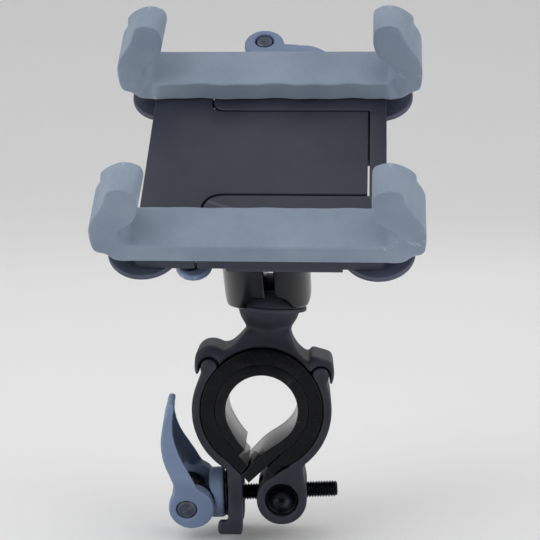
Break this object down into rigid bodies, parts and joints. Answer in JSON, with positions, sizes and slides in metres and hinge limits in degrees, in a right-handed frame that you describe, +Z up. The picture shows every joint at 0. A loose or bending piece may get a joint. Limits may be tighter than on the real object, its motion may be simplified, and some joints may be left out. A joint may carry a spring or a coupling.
{
  "type": "phone handlebar mount",
  "caption": "Bar clamp with cam lever and hinged jaws, lockable ball joint and a width-adjusting cradle with hooked soft grips for holding a phone.",
  "frame": {"origin": "centre of the handlebar bore, half way along the clamp", "axes": "+Y along the handlebar, away from the rider who looks at the phone; +Z up, towards the cradle; +X to the right"},
  "size_m": [0.0875, 0.0913, 0.1496],
  "materials": {
    "nylon": "matt black glass-filled nylon",
    "gloss_shell": "glossy black",
    "outer_liner": "black rubber",
    "inner_liner": "charcoal rubber",
    "lever": "satin blue-grey",
    "silicone": "soft grey silicone, dusty",
    "plate": "fine textured dark grey-blue",
    "ear": "satin dark grey",
    "black_steel": "black oxide",
    "pin_steel": "dark burnished"
  },
  "bodies": {
    "yoke": {"yoke": "nylon", "outer_liner_top": "outer_liner", "inner_liner_top": "inner_liner"},
    "left_jaw": {"left_jaw": "nylon", "outer_liner_left": "outer_liner", "inner_liner_left": "inner_liner"},
    "right_jaw": {"right_jaw": "nylon", "outer_liner_right": "outer_liner", "inner_liner_right": "inner_liner"},
    "barrel_nut": {"barrel_nut": "black_steel"},
    "clamp_bolt": {"clamp_bolt": "black_steel", "cam_washer": "lever", "clamp_lever_pin": "pin_steel"},
    "clamp_lever": {"clamp_lever": "lever"},
    "collar": {"ball_collar": "nylon"},
    "cradle": {"socket_shell_left": "gloss_shell", "socket_shell_right": "gloss_shell", "socket_bolt": "black_steel", "socket_washer": "lever", "socket_nut": "black_steel", "socket_lever_pin": "pin_steel", "rear_housing": "plate", "tongue_plate": "plate", "housing_screw_1": "black_steel", "housing_screw_2": "black_steel", "housing_screw_3": "black_steel", "housing_screw_4": "black_steel", "ear_bottom_left": "ear", "ear_top_left": "ear", "grip_bottom_left": "silicone", "grip_top_left": "silicone", "width_bolt": "black_steel", "width_nut": "black_steel", "width_saddle": "plate", "width_washer": "lever", "width_lever_pin": "pin_steel"},
    "c_plate": {"c_plate": "plate", "ear_bottom_right": "ear", "ear_top_right": "ear", "grip_bottom_right": "silicone", "grip_top_right": "silicone"},
    "socket_lever": {"socket_lever": "lever"},
    "width_lever": {"width_lever": "lever"},
    "flat_washer": {"flat_washer": "black_steel"}
  },
  "joints": [
    {"name": "left_jaw_open", "type": "hinge", "parent": "yoke", "child": "left_jaw", "pos_m": [-0.0151, 0, 0.0123], "axis": [0, 1, 0], "range_deg": [0, 6]},
    {"name": "right_jaw_open", "type": "hinge", "parent": "yoke", "child": "right_jaw", "pos_m": [0.0169, 0, 0.0101], "axis": [0, -1, 0], "range_deg": [0, 6]},
    {"name": "nut_swing", "type": "hinge", "parent": "right_jaw", "child": "barrel_nut", "pos_m": [0.0058, 0, -0.0263], "axis": [0, 1, 0], "range_deg": [0, 6]},
    {"name": "bolt_slide", "type": "slide", "parent": "barrel_nut", "child": "flat_washer", "axis": [-0.999, 0, -0.0436], "range_m": [0, 0.0094]},
    {"name": "bolt_turn", "type": "hinge", "parent": "flat_washer", "child": "clamp_bolt", "pos_m": [0.0058, 0, -0.0263], "axis": [0.999, 0, 0.0436], "continuous": true},
    {"name": "clamp_lever_swing", "type": "hinge", "parent": "clamp_bolt", "child": "clamp_lever", "pos_m": [-0.02197, 0, -0.02751], "axis": [0.012, -0.9613, -0.2754], "range_deg": [0, 150]},
    {"name": "ball_pan", "type": "hinge", "parent": "yoke", "child": "collar", "pos_m": [0.002, 0, 0.0295], "axis": [0.0698, 0, 0.9976], "continuous": true},
    {"name": "ball_tilt", "type": "hinge", "parent": "collar", "child": "cradle", "pos_m": [0.002, 0, 0.0295], "axis": [0.9989, -0.0471, 0], "range_deg": [-60, 4]},
    {"name": "width_slide", "type": "slide", "parent": "cradle", "child": "c_plate", "axis": [0.9989, -0.0471, 0], "range_m": [0, 0.014]},
    {"name": "socket_lever_swing", "type": "hinge", "parent": "cradle", "child": "socket_lever", "pos_m": [-0.02035, -0.01328, 0.04486], "axis": [-0.0321, -0.6812, 0.7314], "range_deg": [0, 120]},
    {"name": "width_lever_swing", "type": "hinge", "parent": "cradle", "child": "width_lever", "pos_m": [0.00004, 0.0285, 0.10245], "axis": [-0.0321, -0.6812, 0.7314], "range_deg": [0, 120]}
  ],
  "couplings": [
    {"joint": "right_jaw_open", "follows": "left_jaw_open", "ratio": 1},
    {"joint": "nut_swing", "follows": "left_jaw_open", "ratio": 1},
    {"joint": "bolt_slide", "follows": "left_jaw_open", "m_per_rad": 0.089}
  ]
}
